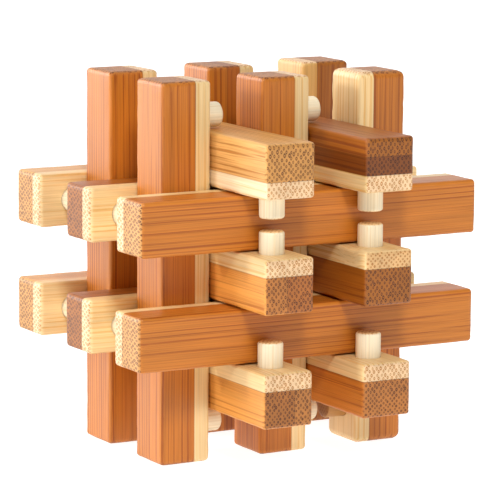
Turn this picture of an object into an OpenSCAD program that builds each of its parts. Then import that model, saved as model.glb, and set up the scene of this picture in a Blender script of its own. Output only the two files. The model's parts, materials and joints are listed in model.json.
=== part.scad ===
// Pegged-stick burr puzzle: eighteen square bamboo sticks, six along each axis, hooked together by
// short dowels. Two of each stick's dowels stand out of its pale strip just past the pile's faces,
// so no stick can slide away. One stick, the key, has a single dowel and leaves first.
// Frame: +X to the right, +Y to the back, +Z up. The origin is under the centre, where the feet stand.

/* [Sticks] */
// Width of each side of a stick's square section
stick_w = 10.7; // [9:0.1:14]
// Wood between a dowel and the end of its stick
end_wood = 4.8; // [3:0.1:12]
// Thickness of the pale strip that carries the dowels
strip_t = 3.4; // [2:0.1:4.5]
// Rounding along a stick's long edges
edge_r = 0.6; // [0.2:0.1:1.5]
// Rounding at a stick's ends
end_r = 0.8; // [0.2:0.1:1.5]
// Rounding at the key's ends, which hands have worn
key_end_r = 1.3; // [0.3:0.1:1.8]

/* [Dowels] */
// Diameter of a dowel
dowel_d = 5; // [3.5:0.1:6]
// Wood left behind the bottom of a dowel's hole
back_wall = 2.7; // [1.5:0.1:4]
// Rounding at a dowel's tip
tip_r = 0.6; // [0.1:0.1:1]
// How much further the lowest beams' dowels stand out, as no others face them
low_extra = 0.5; // [0:0.1:2]

/* [Fit] */
// Sliding gap between the faces of two neighbouring sticks
slide_gap = 0.3; // [0.2:0.05:0.6]
// End play: gap between a dowel and the face that it hooks over
end_play = 0.35; // [0.2:0.05:0.8]
// Gap between the tips of two dowels that face each other
tip_gap = 2.3; // [1:0.1:4]
// Glue line around a dowel in its hole
glue_line = 0.05; // [0.02:0.01:0.1]

/* [Hidden] */
$fn = 64;

// Colours of the three kinds of piece
CARAMEL = "#b5713a";
PALE = "#e6cf9f";
DOWEL = "#efe0bd";

// Distance from one layer of sticks to the next that touches it
pitch = stick_w + slide_gap;
// Half the width of the pile where all the sticks cross
pile_half = 2 * pitch + stick_w / 2;
// Distance from a stick's middle to each of its dowels
dowel_at = pile_half + end_play + dowel_d / 2;
// Half the length of a stick
half_l = dowel_at + dowel_d / 2 + end_wood;
// How far a dowel stands out of its strip, so that two that face each other stay apart
dowel_reach = (2 * pitch - stick_w - tip_gap) / 2;
// Depth of a dowel's blind hole below the strip's face
hole_depth = stick_w - back_wall;
// How far cutting tools run past the wood
past = 1;

// How far each stick has slid off centre, as a share of its end play, from -1 to 1
RAIL_SLID = [[-0.85, 0], [0.4, 0.85], [0.25, 0.25]];
BEAM_SLID = [[0, -0.4, -0.25], [0, -0.6, -0.3]];

// Turns that carry the upright stick of the modules below, whose strip faces right, to its place.
// The front row's rails have their strip at the back, and the other rows' have it in front.
TURN_RAIL = [[90, 0, 90], [90, 0, -90], [90, 0, -90]];
// The top beams have their strip underneath, and the others have it on top.
TURN_BEAM = [[90, -90, 0], [90, -90, 0], [90, 90, 0]];
// The right column's posts have their strip on the left.
TURN_POST = [[0, 0, 0], [0, 0, 0], [0, 0, 180]];

// Words for the places, in order along each axis
ROWS = ["front", "middle", "back"];
LEVELS = ["low", "middle", "high"];
COLUMNS = ["left", "middle", "right"];

// A stick's record: name, turn, place of its middle, ends that have a dowel, rounding of its ends,
// how far its dowels stand out
function stick(name, turn, at, dowel_ends = [-1, 1], round_r = end_r, reach = dowel_reach) =
    [name, turn, at + [0, 0, half_l], dowel_ends, round_r, reach];

RAILS = [for (row = [0:2], level = [0, 1])
    stick(str("rail_", ROWS[row], "_", LEVELS[2 * level]), TURN_RAIL[row],
        [RAIL_SLID[row][level] * end_play, 2 * (row - 1) * pitch, (2 * level - 1) * pitch])];
BEAMS = [for (side = [0, 1], level = [0:2])
    stick(str("beam_", COLUMNS[2 * side], "_", LEVELS[level]), TURN_BEAM[level],
        [(2 * side - 1) * pitch, BEAM_SLID[side][level] * end_play, 2 * (level - 1) * pitch],
        reach = dowel_reach + (level == 0 ? low_extra : 0))];
POSTS = [for (column = [0:2], row = [0, 1])
    let (is_key = column == 2 && row == 0)
    stick(is_key ? "key_post" : str("post_", COLUMNS[column], "_", ROWS[2 * row]), TURN_POST[column],
        [2 * (column - 1) * pitch, (2 * row - 1) * pitch, 0],
        is_key ? [-1] : [-1, 1], is_key ? key_end_r : end_r)];
STICKS = concat(RAILS, BEAMS, POSTS);

PIECES = ["core", "strip", "dowels"];

// A rectangle with round corners, centred
module round_rectangle(w, h, r) {
    square([w - 2 * r, h], center = true);
    square([w, h - 2 * r], center = true);
    for (x = [-1, 1], y = [-1, 1])
        translate([x * (w / 2 - r), y * (h / 2 - r)])
            circle(r);
}

// The whole square bar along Z, round along its edges and at its ends
module bar(round_r) {
    intersection() {
        linear_extrude(height = 2 * half_l + 2 * past, center = true)
            round_rectangle(stick_w, stick_w, edge_r);
        rotate([90, 0, 0])
            linear_extrude(height = stick_w + 2 * past, center = true)
                round_rectangle(stick_w, 2 * half_l, round_r);
        rotate([90, 0, 90])
            linear_extrude(height = stick_w + 2 * past, center = true)
                round_rectangle(stick_w, 2 * half_l, round_r);
    }
}

// The slice of space that the pale strip takes from the bar, on its +X side
module strip_side() {
    translate([stick_w / 2 - strip_t, -stick_w / 2 - past, -half_l - past])
        cube([strip_t + past, stick_w + 2 * past, 2 * half_l + 2 * past]);
}

// The dowels' blind holes, bored in from the strip's face
module dowel_holes(dowel_ends) {
    for (end = dowel_ends)
        translate([stick_w / 2 - hole_depth, 0, end * dowel_at])
            rotate([0, 90, 0])
                cylinder(h = hole_depth + past, d = dowel_d + 2 * glue_line);
}

// Caramel bamboo core, which is most of the stick
module core(dowel_ends, round_r) {
    color(CARAMEL)
        difference() {
            bar(round_r);
            strip_side();
            dowel_holes(dowel_ends);
        }
}

// Pale bamboo strip glued along one side of the core
module strip(dowel_ends, round_r) {
    color(PALE)
        difference() {
            intersection() {
                bar(round_r);
                strip_side();
            }
            dowel_holes(dowel_ends);
        }
}

// Half the outline of a dowel: bottom at the origin, round at the tip
module dowel_outline(length) {
    square([dowel_d / 2, length - tip_r]);
    square([dowel_d / 2 - tip_r, length]);
    translate([dowel_d / 2 - tip_r, length - tip_r])
        intersection() {
            circle(tip_r);
            square(tip_r);
        }
}

// Round dowels that stand out of the strip
module dowels(dowel_ends, reach) {
    color(DOWEL)
        for (end = dowel_ends)
            translate([stick_w / 2 - hole_depth, 0, end * dowel_at])
                rotate([0, 90, 0])
                    rotate_extrude()
                        dowel_outline(hole_depth + reach);
}

// One piece of a stick, laid in its place in the pile
module piece_of(s, piece) {
    translate(s[2])
        rotate(s[1]) {
            if (piece == "core") core(s[3], s[4]);
            if (piece == "strip") strip(s[3], s[4]);
            if (piece == "dowels") dowels(s[3], s[5]);
        }
}

for (s = STICKS, piece = PIECES)
    piece_of(s, piece);
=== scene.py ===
"""Looks of the pegged-stick burr puzzle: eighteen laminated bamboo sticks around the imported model.

Each stick is three pieces that ride on its body: the caramel core, the pale strip glued on one side
of it, and the round dowels that stand out of the strip. Geometry Nodes build them in millimetres in
the stick's own frame (x towards the strip, z along the stick), and each mesh is then laid in place.
"""

from __future__ import annotations

import json
import logging
import math
from dataclasses import dataclass, field, replace
from enum import Enum
from typing import Any, Sequence

import bpy
from mathutils import Euler, Matrix, Vector


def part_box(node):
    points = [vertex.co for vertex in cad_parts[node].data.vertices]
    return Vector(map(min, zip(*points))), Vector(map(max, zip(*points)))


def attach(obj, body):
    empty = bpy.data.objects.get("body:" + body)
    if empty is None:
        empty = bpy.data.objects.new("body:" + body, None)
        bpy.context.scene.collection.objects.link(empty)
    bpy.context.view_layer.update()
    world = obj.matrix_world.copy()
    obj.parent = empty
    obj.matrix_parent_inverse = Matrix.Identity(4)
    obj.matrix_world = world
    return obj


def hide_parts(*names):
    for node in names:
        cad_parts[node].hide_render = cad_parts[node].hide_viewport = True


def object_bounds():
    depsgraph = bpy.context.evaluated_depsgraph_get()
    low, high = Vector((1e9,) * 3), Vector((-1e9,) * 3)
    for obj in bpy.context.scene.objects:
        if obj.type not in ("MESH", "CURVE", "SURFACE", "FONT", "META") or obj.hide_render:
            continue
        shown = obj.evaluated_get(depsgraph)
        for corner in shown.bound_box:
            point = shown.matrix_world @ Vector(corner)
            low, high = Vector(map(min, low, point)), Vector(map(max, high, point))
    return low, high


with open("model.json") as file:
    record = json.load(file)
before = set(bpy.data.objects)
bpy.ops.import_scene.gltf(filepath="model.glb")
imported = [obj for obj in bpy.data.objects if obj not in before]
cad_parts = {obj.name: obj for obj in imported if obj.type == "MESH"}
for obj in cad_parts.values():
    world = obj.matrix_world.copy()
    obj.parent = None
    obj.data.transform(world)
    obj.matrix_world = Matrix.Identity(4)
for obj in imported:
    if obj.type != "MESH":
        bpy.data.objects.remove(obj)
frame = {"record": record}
CAD_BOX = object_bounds()

LOG = logging.getLogger("burr")
MM = 0.001
# Width of a stick in millimetres, which the patterns' crowding is measured by
STICK_WIDTH = 10.7
# The stick that is drawn out first is rounder at its ends and more worn, in millimetres
KEY, KEY_END_RADIUS, KEY_WEAR = "key_post", 1.3, 0.18
Colour = tuple[float, float, float, float]
Tree = bpy.types.NodeTree
Node = bpy.types.Node


def linear(hex_colour: str, tint: Sequence[float] = (1.0, 1.0, 1.0)) -> Colour:
    """Turns an sRGB hex colour into the linear colour that a shader socket takes.

    Args:
        hex_colour: Six hex digits after a hash.
        tint: Factors that the three linear channels are then multiplied by.

    Returns:
        Linear red, green, blue and an alpha of 1.
    """
    channels = [int(hex_colour[i : i + 2], 16) / 255 for i in (1, 3, 5)]
    straight = [c / 12.92 if c <= 0.04045 else ((c + 0.055) / 1.055) ** 2.4 for c in channels]
    r, g, b = (min(1.0, c * t) for c, t in zip(straight, tint))
    return (r, g, b, 1.0)


def add_node(tree: Tree, kind: str, inputs: Any = (), **settings: Any) -> Node:
    """Adds a node, sets it and links what flows into it.

    Args:
        tree: Tree that the node goes into.
        kind: Type name of the node.
        inputs: Values by socket order, or a dict of them by socket identifier, name or number. A
            node stands for its first output, a socket is linked, and anything else is set.
        settings: Attributes of the node itself.

    Returns:
        The new node.
    """
    node = tree.nodes.new(kind)
    for name, value in settings.items():
        setattr(node, name, value)
    known = {socket.identifier: socket for socket in node.inputs}
    for key, value in inputs.items() if isinstance(inputs, dict) else enumerate(inputs):
        if value is None:
            continue
        socket = known[key] if key in known else node.inputs[key]
        if isinstance(value, Node):
            value = value.outputs[0]
        if isinstance(value, bpy.types.NodeSocket):
            tree.links.new(value, socket)
        else:
            socket.default_value = value
    return node


class Cut(Enum):
    """Which side of the glue plane a bar's piece keeps; the value is the side that is cut away."""

    CORE = 1.0
    STRIP = -1.0


class PlyLine(Enum):
    """How a core's two plies are glued: side by side, one over the other, or a single ply."""

    BESIDE = "y"
    OVER = "x"
    NONE = ""


class GeometryTree:
    """A Geometry Nodes group with named inputs, turned into plain meshes one piece at a time."""

    SIZES: tuple[str, ...] = ()
    # What every tree takes besides its own sizes: the row of dowels, and the wear and its pattern
    SHARED = ("First", "Step", "Wear", "Seed")
    # Edges that turn more than this stay sharp
    SHARP_DEG = 35.0

    def __init__(self, name: str) -> None:
        """Makes the group's sockets and lets the subclass fill it.

        Args:
            name: Name of the node group.
        """
        self.tree = bpy.data.node_groups.new(name, "GeometryNodeTree")
        kinds = dict.fromkeys(self.SIZES + self.SHARED, "Float")
        kinds.update({"Count": "Int", "Material": "Material"})
        self.keys: dict[str, str] = {}
        for label, kind in kinds.items():
            socket = self.tree.interface.new_socket(label, in_out="INPUT", socket_type=f"NodeSocket{kind}")
            self.keys[label] = socket.identifier
        self.tree.interface.new_socket("Geometry", in_out="OUTPUT", socket_type="NodeSocketGeometry")
        self.given = self.tree.nodes.new("NodeGroupInput").outputs
        shape = self.build()
        solid = add_node(self.tree, "GeometryNodeRealizeInstances", (shape,))
        finish = self.given["Material"]
        dressed = add_node(self.tree, "GeometryNodeSetMaterial", {"Geometry": solid, "Material": finish})
        add_node(self.tree, "NodeGroupOutput", (dressed,))

    def build(self) -> Node:
        """Fills the tree and returns the node that holds the shape."""
        raise NotImplementedError

    def made(self, name: str, values: dict[str, Any], place: Matrix) -> bpy.types.Object:
        """Runs the tree once and lays the result in place.

        Args:
            name: Name of the new piece.
            values: Value of each named input.
            place: From millimetres in the stick's frame to metres in the row's frame.

        Returns:
            A mesh object at the origin with its place in its mesh.
        """
        carrier = bpy.data.objects.new(name + "_carrier", bpy.data.meshes.new(name + "_carrier"))
        bpy.context.scene.collection.objects.link(carrier)
        modifier = carrier.modifiers.new("Shape", "NODES")
        modifier.node_group = self.tree
        for label, value in values.items():
            modifier[self.keys[label]] = value
        graph = bpy.context.evaluated_depsgraph_get()
        mesh = bpy.data.meshes.new_from_object(carrier.evaluated_get(graph), depsgraph=graph)
        bpy.data.objects.remove(carrier)
        mesh.name = name
        mesh.transform(place)
        mesh.shade_smooth()
        mesh.set_sharp_from_angle(angle=math.radians(self.SHARP_DEG))
        piece = bpy.data.objects.new(name, mesh)
        bpy.context.scene.collection.objects.link(piece)
        return piece

    def in_row(self, shape: Node) -> Node:
        """Repeats a shape at the place of each of the stick's dowels."""
        tree, given = self.tree, self.given
        start = add_node(tree, "ShaderNodeCombineXYZ", (0, 0, given["First"]))
        step = add_node(tree, "ShaderNodeCombineXYZ", (0, 0, given["Step"]))
        line = {"Count": given["Count"], "Start Location": start, "Offset": step}
        row = add_node(tree, "GeometryNodeMeshLine", line)
        shapes = add_node(tree, "GeometryNodeInstanceOnPoints", {"Points": row, "Instance": shape})
        return add_node(tree, "GeometryNodeRealizeInstances", (shapes,))

    def patches(self, fineness: Sequence[float], detail: float) -> Node:
        """Soft random patches, from 0 to 1, whose fineness is per millimetre along each direction."""
        tree, given = self.tree, self.given
        at = add_node(tree, "GeometryNodeInputPosition")
        shift = add_node(tree, "ShaderNodeCombineXYZ", (given["Seed"],) * 3)
        spot = add_node(tree, "ShaderNodeVectorMath", (at, fineness, shift), operation="MULTIPLY_ADD")
        return add_node(tree, "ShaderNodeTexNoise", {"Vector": spot, "Scale": 1.0, "Detail": detail})

    def pressed(self, shape: Node, amount: Node) -> Node:
        """Moves a shape's surface inwards by an amount from 0 to 1 of its wear."""
        tree = self.tree
        depth = add_node(tree, "ShaderNodeMath", (amount, self.given["Wear"]), operation="MULTIPLY")
        depth = add_node(tree, "ShaderNodeMath", (depth, -1.0), operation="MULTIPLY")
        normal = add_node(tree, "GeometryNodeInputNormal")
        depth = add_node(tree, "ShaderNodeVectorMath", {0: normal, "Scale": depth}, operation="SCALE")
        return add_node(tree, "GeometryNodeSetPosition", {"Geometry": shape, "Offset": depth})


class BarTree(GeometryTree):
    """A square stick with sanded edges and ends, cut at its glue plane and bored for its dowels."""

    SIZES = (
        "Half Width", "Half Length", "Edge Radius", "End Radius", "Glue Plane", "Cut Side", "Hole Radius",
        "Hole Depth",
    )
    # Grid lines on each side of the middle, and the lines where the flat part and its margin end
    ACROSS, FLAT_ACROSS, MARGIN_ACROSS = 6, 2, 3
    ALONG, FLAT_ALONG, MARGIN_ALONG = 40, 35, 36
    # Narrow flat margin before the rounding starts, which keeps the shading of the flat face flat
    MARGIN = 0.25
    AROUND_HOLE = 48

    def build(self) -> Node:
        """Shapes a fine grid box into the bar, wears its edges, then cuts and bores it."""
        tree, given = self.tree, self.given
        half, long_half = given["Half Width"], given["Half Length"]
        edge_r, end_r = given["Edge Radius"], given["End Radius"]
        grid = add_node(
            tree, "GeometryNodeMeshCube",
            ((2, 2, 2), 2 * self.ACROSS + 1, 2 * self.ACROSS + 1, 2 * self.ALONG + 1),
        )
        at = add_node(tree, "GeometryNodeInputPosition")
        size = add_node(tree, "ShaderNodeVectorMath", (at,), operation="ABSOLUTE")
        side = add_node(tree, "ShaderNodeVectorMath", (at,), operation="SIGN")

        # Distances from the middle: flat part, margin, then the part that rounds
        flat_x = add_node(tree, "ShaderNodeMath", (half, edge_r), operation="SUBTRACT")
        flat_x = add_node(tree, "ShaderNodeMath", (flat_x, self.MARGIN), operation="SUBTRACT")
        flat_z = add_node(tree, "ShaderNodeMath", (long_half, end_r), operation="SUBTRACT")
        flat_z = add_node(tree, "ShaderNodeMath", (flat_z, self.MARGIN), operation="SUBTRACT")
        one = (self.FLAT_ACROSS / self.ACROSS,) * 2 + (self.FLAT_ALONG / self.ALONG,)
        two = (self.MARGIN_ACROSS / self.ACROSS,) * 2 + (self.MARGIN_ALONG / self.ALONG,)
        spans = (
            ((0, 0, 0), one, (flat_x, flat_x, flat_z)), (one, two, (self.MARGIN,) * 3),
            (two, (1, 1, 1), (edge_r, edge_r, 0)),
        )
        reach = None
        for low, high, lengths in spans:
            to = add_node(tree, "ShaderNodeCombineXYZ", lengths)
            step = add_node(
                tree, "ShaderNodeMapRange",
                {"Vector": size, "From_Min_FLOAT3": low, "From_Max_FLOAT3": high, "To_Max_FLOAT3": to},
                data_type="FLOAT_VECTOR",
            )
            step = step.outputs["Vector"]
            if reach is None:
                reach = step
            else:
                reach = add_node(tree, "ShaderNodeVectorMath", (reach, step), operation="ADD")
        flat = add_node(tree, "ShaderNodeVectorMath", (reach, (1, 1, 0)), operation="MULTIPLY")
        depth = add_node(tree, "ShaderNodeSeparateXYZ", (reach,)).outputs["Z"]

        # Square section with round corners: the outline's corner is rounded, the rest scales inwards
        parts = add_node(tree, "ShaderNodeSeparateXYZ", (flat,))
        widest = add_node(
            tree, "ShaderNodeMath", (parts.outputs["X"], parts.outputs["Y"]), operation="MAXIMUM"
        )
        share = add_node(tree, "ShaderNodeMath", (widest, half), operation="DIVIDE")
        share = add_node(tree, "ShaderNodeMath", (share, 1e-6), operation="MAXIMUM")
        grow = add_node(tree, "ShaderNodeMath", (1.0, share), operation="DIVIDE")
        outline = add_node(tree, "ShaderNodeVectorMath", {0: flat, "Scale": grow}, operation="SCALE")
        inner = add_node(tree, "ShaderNodeMath", (half, edge_r), operation="SUBTRACT")
        inner = add_node(tree, "ShaderNodeCombineXYZ", (inner, inner, 0))
        inner = add_node(tree, "ShaderNodeVectorMath", (outline, inner), operation="MINIMUM")
        out = add_node(tree, "ShaderNodeVectorMath", (outline, inner), operation="SUBTRACT")
        out = add_node(tree, "ShaderNodeVectorMath", (out,), operation="NORMALIZE")
        out = add_node(tree, "ShaderNodeVectorMath", {0: out, "Scale": edge_r}, operation="SCALE")
        outline = add_node(tree, "ShaderNodeVectorMath", (inner, out), operation="ADD")

        # Rounded ends: the section shrinks along a quarter circle
        turn = add_node(
            tree,
            "ShaderNodeMapRange",
            {
                "Value": add_node(tree, "ShaderNodeSeparateXYZ", (size,)).outputs["Z"],
                "From Min": self.MARGIN_ALONG / self.ALONG, "From Max": 1.0, "To Min": 0.0,
                "To Max": math.pi / 2,
            },
        )
        rise = add_node(tree, "ShaderNodeMath", (turn,), operation="SINE")
        depth = add_node(tree, "ShaderNodeMath", (rise, end_r, depth), operation="MULTIPLY_ADD")
        inset = add_node(tree, "ShaderNodeMath", (turn,), operation="COSINE")
        inset = add_node(tree, "ShaderNodeMath", (1.0, inset), operation="SUBTRACT")
        inset = add_node(tree, "ShaderNodeMath", (inset, end_r), operation="MULTIPLY")
        left = add_node(tree, "ShaderNodeMath", (half, inset), operation="SUBTRACT")
        left = add_node(tree, "ShaderNodeMath", (left, half), operation="DIVIDE")
        left = add_node(tree, "ShaderNodeMath", (left, share), operation="MULTIPLY")
        section = add_node(tree, "ShaderNodeVectorMath", {0: outline, "Scale": left}, operation="SCALE")
        upright = add_node(tree, "ShaderNodeCombineXYZ", (0, 0, depth))
        place = add_node(tree, "ShaderNodeVectorMath", (section, upright), operation="ADD")
        place = add_node(tree, "ShaderNodeVectorMath", (place, side), operation="MULTIPLY")
        bar = add_node(tree, "GeometryNodeSetPosition", {"Geometry": grid, "Position": place})
        return self.bored(self.worn(bar))

    def worn(self, bar: Node) -> Node:
        """Presses the edges and corners in a little, unevenly, as sanding and handling leave them."""
        tree, given = self.tree, self.given
        half, long_half = given["Half Width"], given["Half Length"]
        at = add_node(tree, "GeometryNodeInputPosition")
        size = add_node(tree, "ShaderNodeVectorMath", (at,), operation="ABSOLUTE")
        size = add_node(tree, "ShaderNodeSeparateXYZ", (size,))
        x, y, z = (size.outputs[i] for i in range(3))
        inner = add_node(tree, "ShaderNodeMath", (x, y), operation="MINIMUM")
        outer = add_node(tree, "ShaderNodeMath", (x, y), operation="MAXIMUM")
        masks = []
        # Distances in millimetres from the face or end, where the wear starts and where it is full
        bands = ((inner, half, 1.1, 0.2), (outer, half, 1.3, 0.3), (z, long_half, 1.6, 0.4))
        for value, limit, start, stop in bands:
            low = add_node(tree, "ShaderNodeMath", (limit, start), operation="SUBTRACT")
            high = add_node(tree, "ShaderNodeMath", (limit, stop), operation="SUBTRACT")
            fade = (value, low, high, 0.0, 1.0)
            masks.append(add_node(tree, "ShaderNodeMapRange", fade, interpolation_type="SMOOTHSTEP"))
        end_mask = add_node(tree, "ShaderNodeMath", (masks[1], masks[2]), operation="MULTIPLY")
        mask = add_node(tree, "ShaderNodeMath", (masks[0], end_mask), operation="MAXIMUM")
        rough = add_node(tree, "ShaderNodeMapRange", (self.patches((0.9, 0.9, 0.4), 2.0), 0.4, 0.8, 0.0, 1.0))
        return self.pressed(bar, add_node(tree, "ShaderNodeMath", (rough, mask), operation="MULTIPLY"))

    def bored(self, bar: Node) -> Node:
        """Cuts the bar at its glue plane and bores its blind dowel holes."""
        tree, given = self.tree, self.given
        # Width of the box that takes off all past the glue plane, in millimetres; more than a stick's
        block = 40.0
        middle = (given["Cut Side"], block / 2, given["Glue Plane"])
        shift = add_node(tree, "ShaderNodeMath", middle, operation="MULTIPLY_ADD")
        box = add_node(tree, "GeometryNodeMeshCube", ((block, block, 10 * block),))
        shift = add_node(tree, "ShaderNodeCombineXYZ", (shift, 0, 0))
        box = add_node(tree, "GeometryNodeTransform", (box, shift))
        # How far the drills stand out of the strip's face, in millimetres
        run_out = 2.0
        over = add_node(tree, "ShaderNodeMath", (given["Hole Depth"], run_out), operation="ADD")
        drill = add_node(
            tree, "GeometryNodeMeshCylinder",
            {"Vertices": self.AROUND_HOLE, "Radius": given["Hole Radius"], "Depth": over},
        )
        centre = add_node(tree, "ShaderNodeMath", (over, -0.5, given["Half Width"]), operation="MULTIPLY_ADD")
        centre = add_node(tree, "ShaderNodeMath", (centre, run_out), operation="ADD")
        centre = add_node(tree, "ShaderNodeCombineXYZ", (centre, 0, 0))
        drill = add_node(tree, "GeometryNodeTransform", (drill, centre, (0, math.pi / 2, 0)))
        drills = self.in_row(drill)
        cut = add_node(tree, "GeometryNodeMeshBoolean", (bar, box), operation="DIFFERENCE", solver="MANIFOLD")
        return add_node(
            tree, "GeometryNodeMeshBoolean", (cut, drills), operation="DIFFERENCE", solver="MANIFOLD"
        )


class DowelTree(GeometryTree):
    """Round dowels set in a row along the stick, standing up along x, each round at its tip."""

    SIZES = ("Radius", "Length", "Tip Radius", "Foot")
    AROUND, UP = 48, 10
    MARGIN = 0.2

    def build(self) -> Node:
        """Shapes one cylinder, repeats it, and takes it slightly out of round."""
        tree, given = self.tree, self.given
        radius, length, tip = given["Radius"], given["Length"], given["Tip Radius"]
        rod = add_node(
            tree,
            "GeometryNodeMeshCylinder",
            {
                "Vertices": self.AROUND, "Side Segments": self.UP, "Fill Segments": 3, "Radius": radius,
                "Depth": length,
            },
            fill_type="TRIANGLE_FAN",
        )
        at = add_node(tree, "GeometryNodeInputPosition")
        parts = add_node(tree, "ShaderNodeSeparateXYZ", (at,))
        up = add_node(tree, "ShaderNodeMath", (parts.outputs["Z"], length), operation="DIVIDE")
        up = add_node(tree, "ShaderNodeMath", (up, 0.5), operation="ADD")
        body = add_node(tree, "ShaderNodeMath", (length, tip), operation="SUBTRACT")
        body = add_node(tree, "ShaderNodeMath", (body, self.MARGIN), operation="SUBTRACT")
        low = add_node(tree, "ShaderNodeMapRange", (up, 0.0, 0.5, 0.0, body))
        margin = add_node(tree, "ShaderNodeMapRange", (up, 0.5, 0.6, 0.0, self.MARGIN))
        turn = add_node(tree, "ShaderNodeMapRange", (up, 0.6, 1.0, 0.0, math.pi / 2))
        rise = add_node(tree, "ShaderNodeMath", (turn,), operation="SINE")
        rise = add_node(tree, "ShaderNodeMath", (rise, tip, low), operation="MULTIPLY_ADD")
        rise = add_node(tree, "ShaderNodeMath", (rise, margin), operation="ADD")
        inset = add_node(tree, "ShaderNodeMath", (turn,), operation="COSINE")
        inset = add_node(tree, "ShaderNodeMath", (inset, 1.0), operation="SUBTRACT")
        inset = add_node(tree, "ShaderNodeMath", (inset, tip), operation="MULTIPLY")
        inset = add_node(tree, "ShaderNodeMath", (inset, radius), operation="DIVIDE")
        inset = add_node(tree, "ShaderNodeMath", (inset, 1.0), operation="ADD")
        ring = add_node(tree, "ShaderNodeVectorMath", (at, (1, 1, 0)), operation="MULTIPLY")
        ring = add_node(tree, "ShaderNodeVectorMath", {0: ring, "Scale": inset}, operation="SCALE")
        rise = add_node(tree, "ShaderNodeCombineXYZ", (0, 0, rise))
        place = add_node(tree, "ShaderNodeVectorMath", (ring, rise), operation="ADD")
        rod = add_node(tree, "GeometryNodeSetPosition", {"Geometry": rod, "Position": place})
        foot = add_node(tree, "ShaderNodeCombineXYZ", (given["Foot"], 0, 0))
        rod = add_node(tree, "GeometryNodeTransform", (rod, foot, (0, math.pi / 2, 0)))
        return self.pressed(self.in_row(rod), self.patches((0.12, 0.9, 0.9), 1.0))


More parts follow.
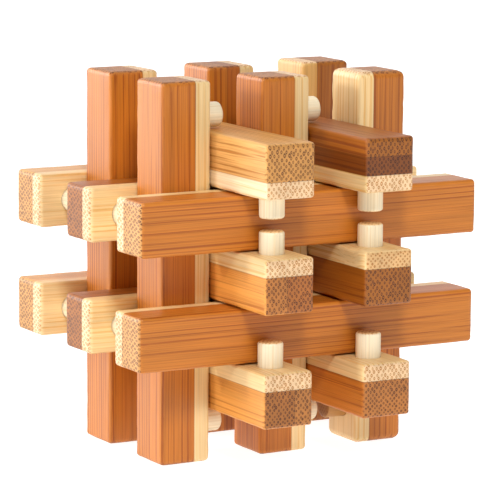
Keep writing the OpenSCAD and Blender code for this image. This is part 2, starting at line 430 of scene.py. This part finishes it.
@dataclass(frozen=True)
class BambooFinish:
    """Strips of bamboo, planed, sanded and clear-lacquered.

    The stems' fibre bundles run the whole length: they draw fine darker lines on the long faces, and
    rings with a pale eye on the cut ends. Sizes are in millimetres on the real stick. The shades multiply
    a colour's linear channels. bundle is the spacing of the bundles and loose how far they stray. A
    positive crowd sets the stem's skin, where the bundles are dense, on the strip's side, and a
    negative one on the other side. ply_at and node_at are places from the stick's middle.
    """

    wood: str
    end: str
    line_shade: tuple[float, float, float] = (0.62, 0.46, 0.26)
    ring_shade: tuple[float, float, float] = (0.17, 0.08, 0.02)
    lines: float = 1.0
    streaks: float = 0.8
    rings: float = 1.0
    eye: float = 0.05
    bundle: float = 0.70
    loose: float = 0.35
    crowd: float = 0.3
    tilt: tuple[float, float] = (0.004, 0.006)
    ply: PlyLine = PlyLine.NONE
    ply_at: float = 0.0
    ply_shade: tuple[float, float, float] = (1.0, 1.0, 1.0)
    node_at: float | None = None
    node_swell: float = 1.6
    node_reach: float = 3.0
    roughness: float = 0.44
    lacquer: float = 0.25

    def material(self, name: str, place: Matrix, seed: float, glue_plane: float | None) -> bpy.types.Material:
        """Builds the finish for one piece.

        Args:
            name: Name of the material.
            place: From millimetres in the fibres' frame (z along them) to metres in the row's frame.
            seed: Shifts the pattern, so that no two pieces share their fibres.
            glue_plane: Where the glue line to the neighbouring layer shows, or None.

        Returns:
            The material.
        """
        made = bpy.data.materials.new(name)
        made.use_nodes = True
        tree = made.node_tree
        tree.nodes.clear()
        source = add_node(tree, "ShaderNodeTexCoord")
        turn = place.to_3x3().normalized()
        local = add_node(
            tree,
            "ShaderNodeMapping",
            {
                "Vector": source.outputs["Object"], "Location": place.translation,
                "Rotation": turn.to_euler(), "Scale": (MM, MM, MM),
            },
            vector_type="TEXTURE",
        )
        facing = add_node(
            tree, "ShaderNodeVectorMath", (source.outputs["Normal"], turn.col[2]), operation="DOT_PRODUCT"
        ).outputs["Value"]
        facing = add_node(tree, "ShaderNodeMath", (facing,), operation="ABSOLUTE")
        cut_end = add_node(tree, "ShaderNodeMapRange", (facing, 0.55, 0.8, 0.0, 1.0))

        fibres, beyond, skin = self.fibre_space(tree, local, seed)
        lattice, bundles = self.bundles(tree, fibres)
        along, height = self.long_faces(tree, fibres, bundles)
        ends = self.cut_ends(tree, fibres, lattice, bundles, skin)
        both = {"Factor_Float": cut_end, "A_Color": along, "B_Color": ends}
        colour = add_node(tree, "ShaderNodeMix", both, data_type="RGBA").outputs[2]
        colour = self.glued(tree, local, colour, beyond, glue_plane)
        rough = add_node(
            tree, "ShaderNodeMapRange", (cut_end, 0.0, 1.0, self.roughness, self.roughness + 0.1)
        )
        rough = add_node(tree, "ShaderNodeMath", (height, 0.08, rough), operation="MULTIPLY_ADD")
        relief = add_node(tree, "ShaderNodeMath", (1.0, height), operation="SUBTRACT")
        bump = add_node(tree, "ShaderNodeBump", {"Strength": 0.6, "Distance": 0.03 * MM, "Height": relief})
        shader = add_node(
            tree,
            "ShaderNodeBsdfPrincipled",
            {
                "Base Color": colour, "Roughness": rough, "IOR": 1.5, "Specular IOR Level": 0.35,
                "Normal": bump, "Coat Weight": self.lacquer, "Coat Roughness": 0.35, "Coat IOR": 1.5,
            },
        )
        add_node(tree, "ShaderNodeOutputMaterial", (shader,))
        return made

    def fibre_space(self, tree: Tree, local: Node, seed: float) -> tuple[Any, Any, Any]:
        """Bends straight millimetres into the fibres' own course.

        Args:
            tree: The material's tree.
            local: Millimetres in the piece's frame.
            seed: Shifts the pattern.

        Returns:
            Coordinates that follow the fibres, 1 past the ply line or None, and how near the stem's
            skin the wood was, from 0 to 1.
        """
        parts = add_node(tree, "ShaderNodeSeparateXYZ", (local,))
        # Millimetres from the stick's middle, near its faces
        inside = math.copysign(5.0, -self.crowd)
        skin = add_node(tree, "ShaderNodeMapRange", (parts.outputs["X"], inside, -inside, 0.0, 1.0))
        square = add_node(tree, "ShaderNodeMath", (parts.outputs["X"],) * 2, operation="MULTIPLY")
        bend = (square, self.crowd / STICK_WIDTH, parts.outputs["X"])
        crowded = add_node(tree, "ShaderNodeMath", bend, operation="MULTIPLY_ADD")
        # Bundles are longer through the wall of the stem than around it
        crowded = add_node(tree, "ShaderNodeMath", (crowded, 0.8), operation="MULTIPLY")
        at = add_node(tree, "ShaderNodeCombineXYZ", (crowded, parts.outputs["Y"], parts.outputs["Z"]))
        # The fibres wander by about a millimetre, over some 14 mm across them and 70 mm along
        slow = add_node(tree, "ShaderNodeVectorMath", (at, (0.07, 0.07, 0.014)), operation="MULTIPLY")
        slow = add_node(tree, "ShaderNodeVectorMath", (slow, (seed, 2 * seed, 0)), operation="ADD")
        sway = add_node(
            tree, "ShaderNodeTexNoise", {"Vector": slow, "Scale": 1.0, "Detail": 1.0}
        ).outputs["Color"]
        at = add_node(tree, "ShaderNodeVectorMath", (sway, (1.1, 1.1, 0), at), operation="MULTIPLY_ADD")
        if self.node_at is not None:
            at = self.knuckle(tree, parts, at)
        at = add_node(tree, "ShaderNodeVectorMath", (at, (7 * seed, 13 * seed, 37 * seed)), operation="ADD")
        beyond = None
        if self.ply is not PlyLine.NONE:
            # The second ply is another strip of bamboo, so its pattern is taken from elsewhere
            across = parts.outputs[self.ply.value.upper()]
            beyond = add_node(tree, "ShaderNodeMath", (across, self.ply_at), operation="GREATER_THAN")
            at = add_node(
                tree, "ShaderNodeVectorMath", (beyond, (6.3, 9.1, 41.0), at), operation="MULTIPLY_ADD"
            )
        return at, beyond, skin

    def knuckle(self, tree: Tree, parts: Node, at: Node) -> Node:
        """Swings the fibres aside round one of the stem's knuckles, which shows as curved grain."""
        near = add_node(tree, "ShaderNodeMath", (parts.outputs["Z"], self.node_at), operation="SUBTRACT")
        near = add_node(tree, "ShaderNodeMath", (near, self.node_reach), operation="DIVIDE")
        near = add_node(tree, "ShaderNodeMath", (near, 2.0), operation="POWER")
        near = add_node(tree, "ShaderNodeMath", (near, -1.0), operation="MULTIPLY")
        near = add_node(tree, "ShaderNodeMath", (near,), operation="EXPONENT")
        swirl = add_node(
            tree, "ShaderNodeTexNoise", {"Vector": at, "Scale": 0.25, "Detail": 1.0}
        ).outputs["Color"]
        swirl = add_node(tree, "ShaderNodeVectorMath", (swirl, (0.2, 0.2, 0.5)), operation="SUBTRACT")
        swirl = add_node(tree, "ShaderNodeVectorMath", {0: swirl, "Scale": near}, operation="SCALE")
        swell = (self.node_swell, self.node_swell, 0.0)
        return add_node(tree, "ShaderNodeVectorMath", (swirl, swell, at), operation="MULTIPLY_ADD")

    def bundles(self, tree: Tree, fibres: Node) -> tuple[Node, Node]:
        """Sets the fibre bundles in their quincunx over the cross-section, and returns it and them."""
        lattice = add_node(
            tree,
            "ShaderNodeMapping",
            {
                "Vector": fibres, "Rotation": (*self.tilt, math.pi / 4),
                "Scale": (1 / self.bundle, 1 / self.bundle, 1.0),
            },
        )
        cells = add_node(
            tree, "ShaderNodeTexVoronoi",
            {"Vector": lattice, "Scale": 1.0, "Randomness": self.loose, "Exponent": 3.0},
            voronoi_dimensions="2D", distance="MINKOWSKI",
        )
        return lattice, cells

    def profile(self, tree: Tree, bundles: Node, stops: Sequence[tuple[float, float]]) -> Node:
        """Shades a bundle from its middle outwards, each by its own strength.

        Args:
            tree: The material's tree.
            bundles: The Voronoi node.
            stops: Distance from the middle, in cells, and darkness there.

        Returns:
            Darkness from 0 to 1.
        """
        own = add_node(tree, "ShaderNodeSeparateColor", (bundles.outputs["Color"],))
        size = add_node(tree, "ShaderNodeMapRange", (own.outputs["Green"], 0.0, 1.0, 0.85, 1.3))
        size = add_node(tree, "ShaderNodeMath", (bundles.outputs["Distance"], size), operation="MULTIPLY")
        ramp = add_node(tree, "ShaderNodeValToRGB", (size,))
        points = ramp.color_ramp.elements
        for index, (where, value) in enumerate(stops):
            point = points[index] if index < 2 else points.new(where)
            point.position = where
            point.color = (value, value, value, 1)
        strength = add_node(tree, "ShaderNodeMapRange", (own.outputs["Red"], 0.0, 1.0, 0.7, 1.0))
        return add_node(tree, "ShaderNodeMath", (ramp, strength), operation="MULTIPLY")

    def long_faces(self, tree: Tree, fibres: Node, bundles: Node) -> tuple[Any, Any]:
        """Colours the faces that run with the fibres.

        Args:
            tree: The material's tree.
            fibres: Coordinates that follow the fibres.
            bundles: The Voronoi node.

        Returns:
            The colour, and how deep in a fibre line the surface is, from 0 to 1.
        """
        line = self.profile(tree, bundles, ((0.0, 1.0), (0.32, 0.0), (0.14, 1.0), (0.22, 0.8)))
        # Streaks are some 0.2 mm wide and 125 mm long
        streak_at = add_node(tree, "ShaderNodeVectorMath", (fibres, (4.6, 4.6, 0.008)), operation="MULTIPLY")
        streak = add_node(
            tree, "ShaderNodeTexNoise", {"Vector": streak_at, "Scale": 1.0, "Detail": 3.0, "Roughness": 0.65}
        )
        streak = add_node(tree, "ShaderNodeMapRange", (streak, 0.38, 0.62, 0.0, 1.0))
        depth = add_node(tree, "ShaderNodeMath", (streak, 0.8), operation="ADD")
        depth = add_node(tree, "ShaderNodeMath", (depth, line), operation="MULTIPLY")
        depth = add_node(tree, "ShaderNodeMath", (depth, 0.7 * self.lines), operation="MULTIPLY")
        extra = add_node(tree, "ShaderNodeMath", (streak, 0.45), operation="SUBTRACT")
        depth = add_node(
            tree, "ShaderNodeMath", (extra, self.streaks, depth), operation="MULTIPLY_ADD", use_clamp=True
        )
        tones = {
            "Factor_Float": depth, "A_Color": linear(self.wood),
            "B_Color": linear(self.wood, self.line_shade),
        }
        colour = add_node(tree, "ShaderNodeMix", tones, data_type="RGBA").outputs[2]
        return self.mottled(tree, fibres, colour, (4.2, 4.2, 0.07), 0.22), depth

    def cut_ends(self, tree: Tree, fibres: Any, lattice: Any, bundles: Any, skin: Any) -> Any:
        """Colours the sawn ends.

        Each bundle is a ring with a pale eye, darkest on the two sides that face the stem's middle and
        its skin. Near the skin the rings close into solid dots.

        Args:
            tree: The material's tree.
            fibres: Coordinates that follow the fibres.
            lattice: Coordinates of the quincunx.
            bundles: The Voronoi node.
            skin: How near the stem's skin the wood was.

        Returns:
            The colour.
        """
        stops = ((0.0, self.eye), (0.40, 0.0), (0.09, self.eye), (0.19, 1.0), (0.27, 0.9))
        ring = self.profile(tree, bundles, stops)
        off = add_node(
            tree, "ShaderNodeVectorMath", (lattice, bundles.outputs["Position"]), operation="SUBTRACT"
        )
        off = add_node(tree, "ShaderNodeVectorMath", (off, (1, 1, 0)), operation="MULTIPLY")
        off = add_node(tree, "ShaderNodeVectorMath", (off,), operation="NORMALIZE")
        diagonal = math.sqrt(0.5)
        caps = add_node(
            tree, "ShaderNodeVectorMath", (off, (diagonal, diagonal, 0)), operation="DOT_PRODUCT"
        ).outputs["Value"]
        caps = add_node(tree, "ShaderNodeMath", (caps, caps), operation="MULTIPLY")
        caps = add_node(tree, "ShaderNodeMapRange", (caps, 0.0, 1.0, 0.85, 1.4))
        ring = add_node(tree, "ShaderNodeMath", (ring, caps), operation="MULTIPLY")
        dot = self.profile(tree, bundles, ((0.0, 1.0), (0.36, 0.0), (0.18, 1.0)))
        near_skin = add_node(tree, "ShaderNodeMath", (skin, 2.0), operation="POWER")
        ring = add_node(tree, "ShaderNodeMix", {"Factor_Float": near_skin, "A_Float": ring, "B_Float": dot})
        ring = add_node(tree, "ShaderNodeMath", (ring, self.rings), operation="MULTIPLY", use_clamp=True)
        tones = {
            "Factor_Float": ring, "A_Color": linear(self.end), "B_Color": linear(self.end, self.ring_shade)
        }
        colour = add_node(tree, "ShaderNodeMix", tones, data_type="RGBA").outputs[2]
        return self.mottled(tree, fibres, colour, (1.1, 1.1, 0.5), 0.2)

    def mottled(
        self, tree: Tree, fibres: Any, colour: Any, grain: Sequence[float], amount: float
    ) -> bpy.types.NodeSocket:
        """Varies a colour's brightness over the wood.

        Args:
            tree: The material's tree.
            fibres: Coordinates that follow the fibres.
            colour: Colour to vary.
            grain: Fineness of the mottle along each direction, per millimetre.
            amount: Share that the brightness changes by.

        Returns:
            The varied colour.
        """
        at = add_node(tree, "ShaderNodeVectorMath", (fibres, grain), operation="MULTIPLY")
        spots = add_node(tree, "ShaderNodeTexNoise", {"Vector": at, "Scale": 1.0, "Detail": 2.0})
        # Broad patches are some 4 mm wide and 33 mm long
        broad = add_node(tree, "ShaderNodeVectorMath", (fibres, (0.25, 0.25, 0.03)), operation="MULTIPLY")
        broad = add_node(tree, "ShaderNodeTexNoise", {"Vector": broad, "Scale": 1.0, "Detail": 1.0})
        spots = add_node(tree, "ShaderNodeMath", (spots, broad), operation="ADD")
        level = add_node(tree, "ShaderNodeMapRange", (spots, 0.5, 1.5, 1 - amount, 1 + amount), clamp=False)
        return add_node(
            tree, "ShaderNodeVectorMath", {0: colour, "Scale": level}, operation="SCALE"
        ).outputs[0]

    def glued(self, tree: Tree, local: Any, colour: Any, beyond: Any, glue_plane: float | None) -> Any:
        """Tints the second ply, and darkens the thin glue lines beside it and at the strip.

        Args:
            tree: The material's tree.
            local: Millimetres in the piece's frame.
            colour: Colour so far.
            beyond: 1 past the ply line, or None.
            glue_plane: Where the strip's glue line is, or None.

        Returns:
            The colour.
        """
        parts = add_node(tree, "ShaderNodeSeparateXYZ", (local,))
        lines = []
        if glue_plane is not None:
            lines.append((parts.outputs["X"], glue_plane))
        if beyond is not None:
            tint = add_node(
                tree, "ShaderNodeMix",
                {"Factor_Float": beyond, "A_Color": (1, 1, 1, 1), "B_Color": (*self.ply_shade, 1)},
                data_type="RGBA",
            ).outputs[2]
            colour = add_node(tree, "ShaderNodeVectorMath", (colour, tint), operation="MULTIPLY")
            lines.append((parts.outputs[self.ply.value.upper()], self.ply_at))
        for across, where in lines:
            off = add_node(tree, "ShaderNodeMath", (across, where), operation="SUBTRACT")
            off = add_node(tree, "ShaderNodeMath", (off,), operation="ABSOLUTE")
            # The real glue line is about 0.05 mm; it is drawn 0.15 mm wide so that it shows
            level = add_node(tree, "ShaderNodeMapRange", (off, 0.05, 0.15, 0.78, 1.0))
            colour = add_node(tree, "ShaderNodeVectorMath", {0: colour, "Scale": level}, operation="SCALE")
        return colour


# Caramel bamboo: steamed until its sugars brown, so orange-brown right through
CARAMEL = BambooFinish(wood="#c47420", end="#b47030")
# Steamed longer: toffee brown, with nearly black rings
DARK_CARAMEL = replace(CARAMEL, wood="#a45c14", end="#9c5a14")
# Steamed for less time: honey-coloured
LIGHT_CARAMEL = replace(CARAMEL, wood="#dca45c", end="#c48a46")
# Natural bamboo: kept pale, with yellow lines and tan rings
PALE = BambooFinish(
    wood="#eccc94", end="#e8c498", line_shade=(0.86, 0.66, 0.36), ring_shade=(0.56, 0.30, 0.06),
    lines=0.7, streaks=0.45, bundle=0.72, crowd=-0.1,
)
# Dowels: split from natural bamboo and pulled through a die, fibres along the dowel
DOWEL = BambooFinish(
    wood="#f4e6c6", end="#ecc890", line_shade=(0.88, 0.72, 0.46), ring_shade=(0.7, 0.52, 0.34), lines=0.4,
    streaks=0.45, bundle=0.62, crowd=0.0, roughness=0.5,
)
# The finish of each slot of the record
FINISHES = {
    "caramel_bamboo": CARAMEL, "dark_caramel_bamboo": DARK_CARAMEL, "light_caramel_bamboo": LIGHT_CARAMEL,
    "pale_bamboo": PALE, "bamboo_dowel": DOWEL,
}


@dataclass(frozen=True)
class StickLook:
    """What one stick's wood has that its slot's finish does not, as fields of BambooFinish."""

    core: dict[str, Any] = field(default_factory=dict)
    strip: dict[str, Any] = field(default_factory=dict)
    dowels: dict[str, Any] = field(default_factory=dict)


# Sticks whose wood stands out: two plies glued side by side or one over the other, a knuckle of the
# stem, or the stem's skin on the side away from the strip. The key post's dowel is made darker as painted
# shade, for the shadow it stands in at the bottom of the pile. Places are in millimetres from the middle.
LOOKS: dict[str, StickLook] = {
    "rail_front_low": StickLook(core={"end": "#cc9250"}),
    "rail_front_high": StickLook(core={"end": "#cc9250"}),
    "beam_left_low": StickLook(
        core={
            "wood": "#dc9440", "end": "#a46428", "crowd": -0.3, "ply": PlyLine.BESIDE, "ply_at": 1.3,
            "ply_shade": (1.2, 1.3, 1.5),
        },
    ),
    "beam_left_middle": StickLook(
        core={"wood": "#dc9440", "ply": PlyLine.BESIDE, "ply_at": -0.6, "ply_shade": (0.85, 0.75, 0.65)},
    ),
    "beam_left_high": StickLook(strip={"wood": "#f4deb8"}),
    "beam_right_low": StickLook(core={"crowd": -0.3}),
    "beam_right_middle": StickLook(strip={"end": "#dcb078", "node_at": -31.0, "crowd": 0.3}),
    "beam_right_high": StickLook(core={"ply": PlyLine.OVER, "ply_at": -1.7, "ply_shade": (0.6, 0.5, 0.4)}),
    "post_middle_back": StickLook(
        core={"ply": PlyLine.OVER, "ply_at": -1.0, "ply_shade": (0.75, 0.65, 0.55)},
    ),
    "post_right_back": StickLook(core={"wood": "#ae681c"}, strip={"wood": "#dcae68"}),
    # Painted shade: the key post's dowel sits low under the pile, so its wood and end are a darker tan for
    # its shadow
    "key_post": StickLook(dowels={"wood": "#bc8848", "end": "#a06c34"}),
}


@dataclass(frozen=True)
class StickPlace:
    """Where a stick lies and how big it is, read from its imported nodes; lengths in millimetres."""

    body: str
    centre: Vector
    turn: Matrix
    half_width: float
    half_length: float
    glue_plane: float
    dowel_radius: float
    dowel_foot: float
    dowel_length: float
    dowel_places: tuple[float, ...]

    @classmethod
    def of(cls, body: str) -> StickPlace:
        """Reads a stick's place from the boxes of its three nodes.

        Args:
            body: Name of the stick's body.

        Returns:
            Its place and sizes.
        """
        boxes = {part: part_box(f"{body}_{part}") for part in ("core", "strip", "dowels")}
        low = Vector(map(min, boxes["core"][0], boxes["strip"][0]))
        high = Vector(map(max, boxes["core"][1], boxes["strip"][1]))
        centre, size = (low + high) / 2, high - low
        run = max(range(3), key=lambda i: size[i])
        strip_off = (boxes["strip"][0] + boxes["strip"][1]) / 2 - centre
        out = max(range(3), key=lambda i: abs(strip_off[i]))
        side = math.copysign(1.0, strip_off[out])
        along, outwards = Vector((0, 0, 0)), Vector((0, 0, 0))
        along[run], outwards[out] = 1.0, side
        turn = Matrix((outwards, along.cross(outwards), along)).transposed()
        strip_size = boxes["strip"][1] - boxes["strip"][0]
        dowel_low, dowel_high = boxes["dowels"]
        dowel_size = dowel_high - dowel_low
        across = 3 - run - out
        radius = dowel_size[across] / 2
        middle = (dowel_low + dowel_high) / 2 - centre
        spread = dowel_size[run] / 2 - radius
        places = (middle[run] - spread, middle[run] + spread) if spread > radius else (middle[run],)
        foot = middle[out] * side - dowel_size[out] / 2
        return cls(
            body=body, centre=centre, turn=turn, half_width=size[across] / 2 / MM,
            half_length=size[run] / 2 / MM, glue_plane=(size[out] / 2 - strip_size[out]) / MM,
            dowel_radius=radius / MM, dowel_foot=foot / MM, dowel_length=dowel_size[out] / MM,
            dowel_places=tuple(p / MM for p in places),
        )

    @property
    def matrix(self) -> Matrix:
        """From millimetres in the stick's frame to metres in the row's frame."""
        return Matrix.Translation(self.centre) @ self.turn.to_4x4() @ Matrix.Scale(MM, 4)

    @property
    def dowel_matrix(self) -> Matrix:
        """The same place with z along the dowels, for their fibres."""
        return self.matrix @ Euler((0, math.pi / 2, 0)).to_matrix().to_4x4()


@dataclass
class Stick:
    """One stick of the puzzle: core, strip and dowels on one body."""

    place: StickPlace
    look: StickLook
    seed: float
    end_radius: float = 0.8
    wear: float = 0.12
    dowel_wear: float = 0.06
    edge_radius: float = 0.6
    tip_radius: float = 0.6
    glue_around_dowel: float = 0.05

    def build(self, bars: BarTree, dowels: DowelTree, slots: dict[str, str]) -> None:
        """Makes the three pieces, dresses them and sets them on the stick's body.

        Args:
            bars: Tree that makes cores and strips.
            dowels: Tree that makes dowels.
            slots: The record's slot of each node.
        """
        wood, plane = self.place.matrix, self.place.glue_plane
        core = self.wood("core", slots, wood, self.seed, plane)
        strip = self.wood("strip", slots, wood, self.seed + 0.37, plane)
        dowel = self.wood("dowels", slots, self.place.dowel_matrix, self.seed + 0.71, None)
        self.add("core", bars, self.bar_sizes(Cut.CORE, core), slots)
        self.add("strip", bars, self.bar_sizes(Cut.STRIP, strip), slots)
        self.add("dowels", dowels, self.dowel_sizes(dowel), slots)

    def wood(
        self, part: str, slots: dict[str, str], fibres: Matrix, seed: float, glue_plane: float | None
    ) -> bpy.types.Material:
        """Makes one piece's material: its slot's finish, with what is this stick's own."""
        slot = slots[f"{self.place.body}_{part}"]
        finish = replace(FINISHES[slot], **getattr(self.look, part))
        return finish.material(f"{slot}_{self.place.body}", fibres, seed, glue_plane)

    def shared_sizes(self, wear: float, material: bpy.types.Material) -> dict[str, Any]:
        """Inputs that both trees take."""
        first, *rest = self.place.dowel_places
        return {
            "First": first, "Step": rest[0] - first if rest else 0.0,
            "Count": len(self.place.dowel_places), "Wear": wear, "Seed": 10 * self.seed,
            "Material": material,
        }

    def bar_sizes(self, cut: Cut, material: bpy.types.Material) -> dict[str, Any]:
        """Inputs of the bar tree for the core or the strip."""
        place = self.place
        return self.shared_sizes(self.wear, material) | {
            "Half Width": place.half_width, "Half Length": place.half_length,
            "Edge Radius": self.edge_radius, "End Radius": self.end_radius,
            "Glue Plane": place.glue_plane, "Cut Side": cut.value,
            "Hole Radius": place.dowel_radius + self.glue_around_dowel,
            "Hole Depth": place.half_width - place.dowel_foot,
        }

    def dowel_sizes(self, material: bpy.types.Material) -> dict[str, Any]:
        """Inputs of the dowel tree."""
        place = self.place
        return self.shared_sizes(self.dowel_wear, material) | {
            "Radius": place.dowel_radius, "Length": place.dowel_length, "Tip Radius": self.tip_radius,
            "Foot": place.dowel_foot,
        }

    def add(self, part: str, tree: GeometryTree, sizes: dict[str, Any], slots: dict[str, str]) -> None:
        """Makes a piece and sets it on the stick's body in place of its node."""
        node = f"{self.place.body}_{part}"
        piece = tree.made(f"{node}_bamboo", sizes, self.place.matrix)
        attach(piece, self.place.body)
        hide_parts(node)
        LOG.info("%s: %d faces for %s", piece.name, len(piece.data.polygons), node)


@dataclass(frozen=True)
class Softbox:
    """A square lamp with a diffuser that looks at the middle of the pile."""

    name: str
    azimuth: float
    elevation: float
    distance: float
    size: float
    power: float

    def light(self, aim: Vector) -> None:
        """Adds the lamp.

        Args:
            aim: Point that it looks at.
        """
        a, e = math.radians(self.azimuth), math.radians(self.elevation)
        away = Vector((math.sin(a) * math.cos(e), -math.cos(a) * math.cos(e), math.sin(e)))
        data = bpy.data.lights.new(self.name, "AREA")
        data.shape, data.size, data.energy = "SQUARE", self.size, self.power
        lamp = bpy.data.objects.new(self.name, data)
        lamp.location = aim + away * self.distance
        lamp.rotation_euler = away.to_track_quat("Z", "Y").to_euler()
        bpy.context.scene.collection.objects.link(lamp)


@dataclass(frozen=True)
class Studio:
    """White floor, soft lamps and the camera."""

    aim: Vector
    azimuth: float = -29.453
    elevation: float = 9.120
    roll: float = 0.417
    distance: float = 637.4
    sideways: float = 1.218
    upward: float = 0.87
    lens: float = 228.07
    floor_radius: float = 6.0
    # Keeps the floor just clear of the feet
    floor_drop: float = 0.0001
    room_front: float = 0.27
    room_back: float = 1.12
    lamps: tuple[Softbox, ...] = (
        Softbox("front_softbox", azimuth=-22, elevation=43, distance=0.9, size=0.16, power=4.0),
        Softbox("left_softbox", azimuth=-98, elevation=16, distance=0.9, size=0.10, power=2.9),
        Softbox("back_left_panel", azimuth=-148, elevation=6, distance=1.4, size=1.1, power=17.0),
    )

    def build(self) -> None:
        """Builds the whole studio."""
        self.build_floor()
        self.build_room()
        for lamp in self.lamps:
            lamp.light(self.aim)
        self.build_camera()

    def build_floor(self) -> None:
        """Lays a pale matt sweep, wide enough to fill every view."""
        count = 96
        turns = [math.tau * i / count for i in range(count)]
        radius, drop = self.floor_radius, self.floor_drop
        ring = [(radius * math.cos(t), radius * math.sin(t), -drop) for t in turns]
        mesh = bpy.data.meshes.new("studio_floor")
        mesh.from_pydata(ring, [], [list(range(count))])
        made = bpy.data.materials.new("matt_white_card")
        made.use_nodes = True
        tree = made.node_tree
        tree.nodes.clear()
        source = add_node(tree, "ShaderNodeTexCoord")
        tooth = add_node(
            tree, "ShaderNodeTexNoise", {"Vector": source.outputs["Object"], "Scale": 40.0, "Detail": 3.0}
        )
        tooth = add_node(tree, "ShaderNodeMapRange", (tooth, 0.3, 0.7, 0.40, 0.43))
        white = add_node(tree, "ShaderNodeCombineColor", (tooth, tooth, tooth))
        shader = add_node(
            tree,
            "ShaderNodeBsdfPrincipled",
            {
                "Base Color": white, "Roughness": 0.9, "Emission Color": (1, 1, 1, 1),
                "Emission Strength": 0.92,
            },
        )
        add_node(tree, "ShaderNodeOutputMaterial", (shader,))
        mesh.materials.append(made)
        floor = bpy.data.objects.new("studio_floor", mesh)
        bpy.context.scene.collection.objects.link(floor)

    def build_room(self) -> None:
        """Surrounds the scene with white light, brighter behind the pile than in front of it."""
        world = bpy.data.worlds.new("white_room")
        world.use_nodes = True
        world.node_tree.nodes.clear()
        tree = world.node_tree
        way = add_node(tree, "ShaderNodeTexCoord").outputs["Generated"]
        way = add_node(tree, "ShaderNodeSeparateXYZ", (way,)).outputs["Y"]
        level = add_node(tree, "ShaderNodeMapRange", (way, -0.6, 0.8, self.room_front, self.room_back))
        glow = add_node(tree, "ShaderNodeBackground", ((1, 1, 1, 1), level))
        add_node(tree, "ShaderNodeOutputWorld", (glow,))
        scene = bpy.context.scene
        scene.world = world
        scene.view_settings.view_transform = "Standard"
        scene.view_settings.look = "None"

    def build_camera(self) -> None:
        """Sets a long lens in front of the pile, left of its middle and a little above it."""
        a, e, r = map(math.radians, (self.azimuth, self.elevation, self.roll))
        back = Vector((math.sin(a) * math.cos(e), -math.cos(a) * math.cos(e), math.sin(e)))
        right = (-back).cross(Vector((0, 0, 1))).normalized()
        up = right.cross(-back)
        rolled = math.cos(r) * right + math.sin(r) * up
        upright = -math.sin(r) * right + math.cos(r) * up
        place = self.aim + MM * (self.sideways * rolled + self.upward * upright + self.distance * back)
        data = bpy.data.cameras.new("camera")
        data.lens, data.sensor_width = self.lens, 36.0
        data.clip_start, data.clip_end = 0.01, 30.0
        camera = bpy.data.objects.new("camera", data)
        turn = Matrix((rolled, upright, back)).transposed().to_4x4()
        camera.matrix_world = Matrix.Translation(place) @ turn
        bpy.context.scene.collection.objects.link(camera)
        bpy.context.scene.camera = camera


def main() -> None:
    """Builds the sticks and the studio."""
    logging.basicConfig(level=logging.INFO, format="%(name)s: %(message)s")
    low, high = CAD_BOX
    Studio(aim=Vector((0, 0, (low.z + high.z) / 2))).build()
    bars, dowels = BarTree("sanded_bar"), DowelTree("dowel_row")
    record = frame["record"]
    slots = {part["node"]: part["material_slot"] for part in record["subparts"]}
    for number, body in enumerate(record["behaviour"]["bodies"]):
        key = body == KEY
        stick = Stick(
            place=StickPlace.of(body), look=LOOKS.get(body, StickLook()), seed=1.0 + 1.83 * number,
            end_radius=KEY_END_RADIUS if key else Stick.end_radius, wear=KEY_WEAR if key else Stick.wear,
        )
        stick.build(bars, dowels, slots)


if __name__ == "__main__":
    main()
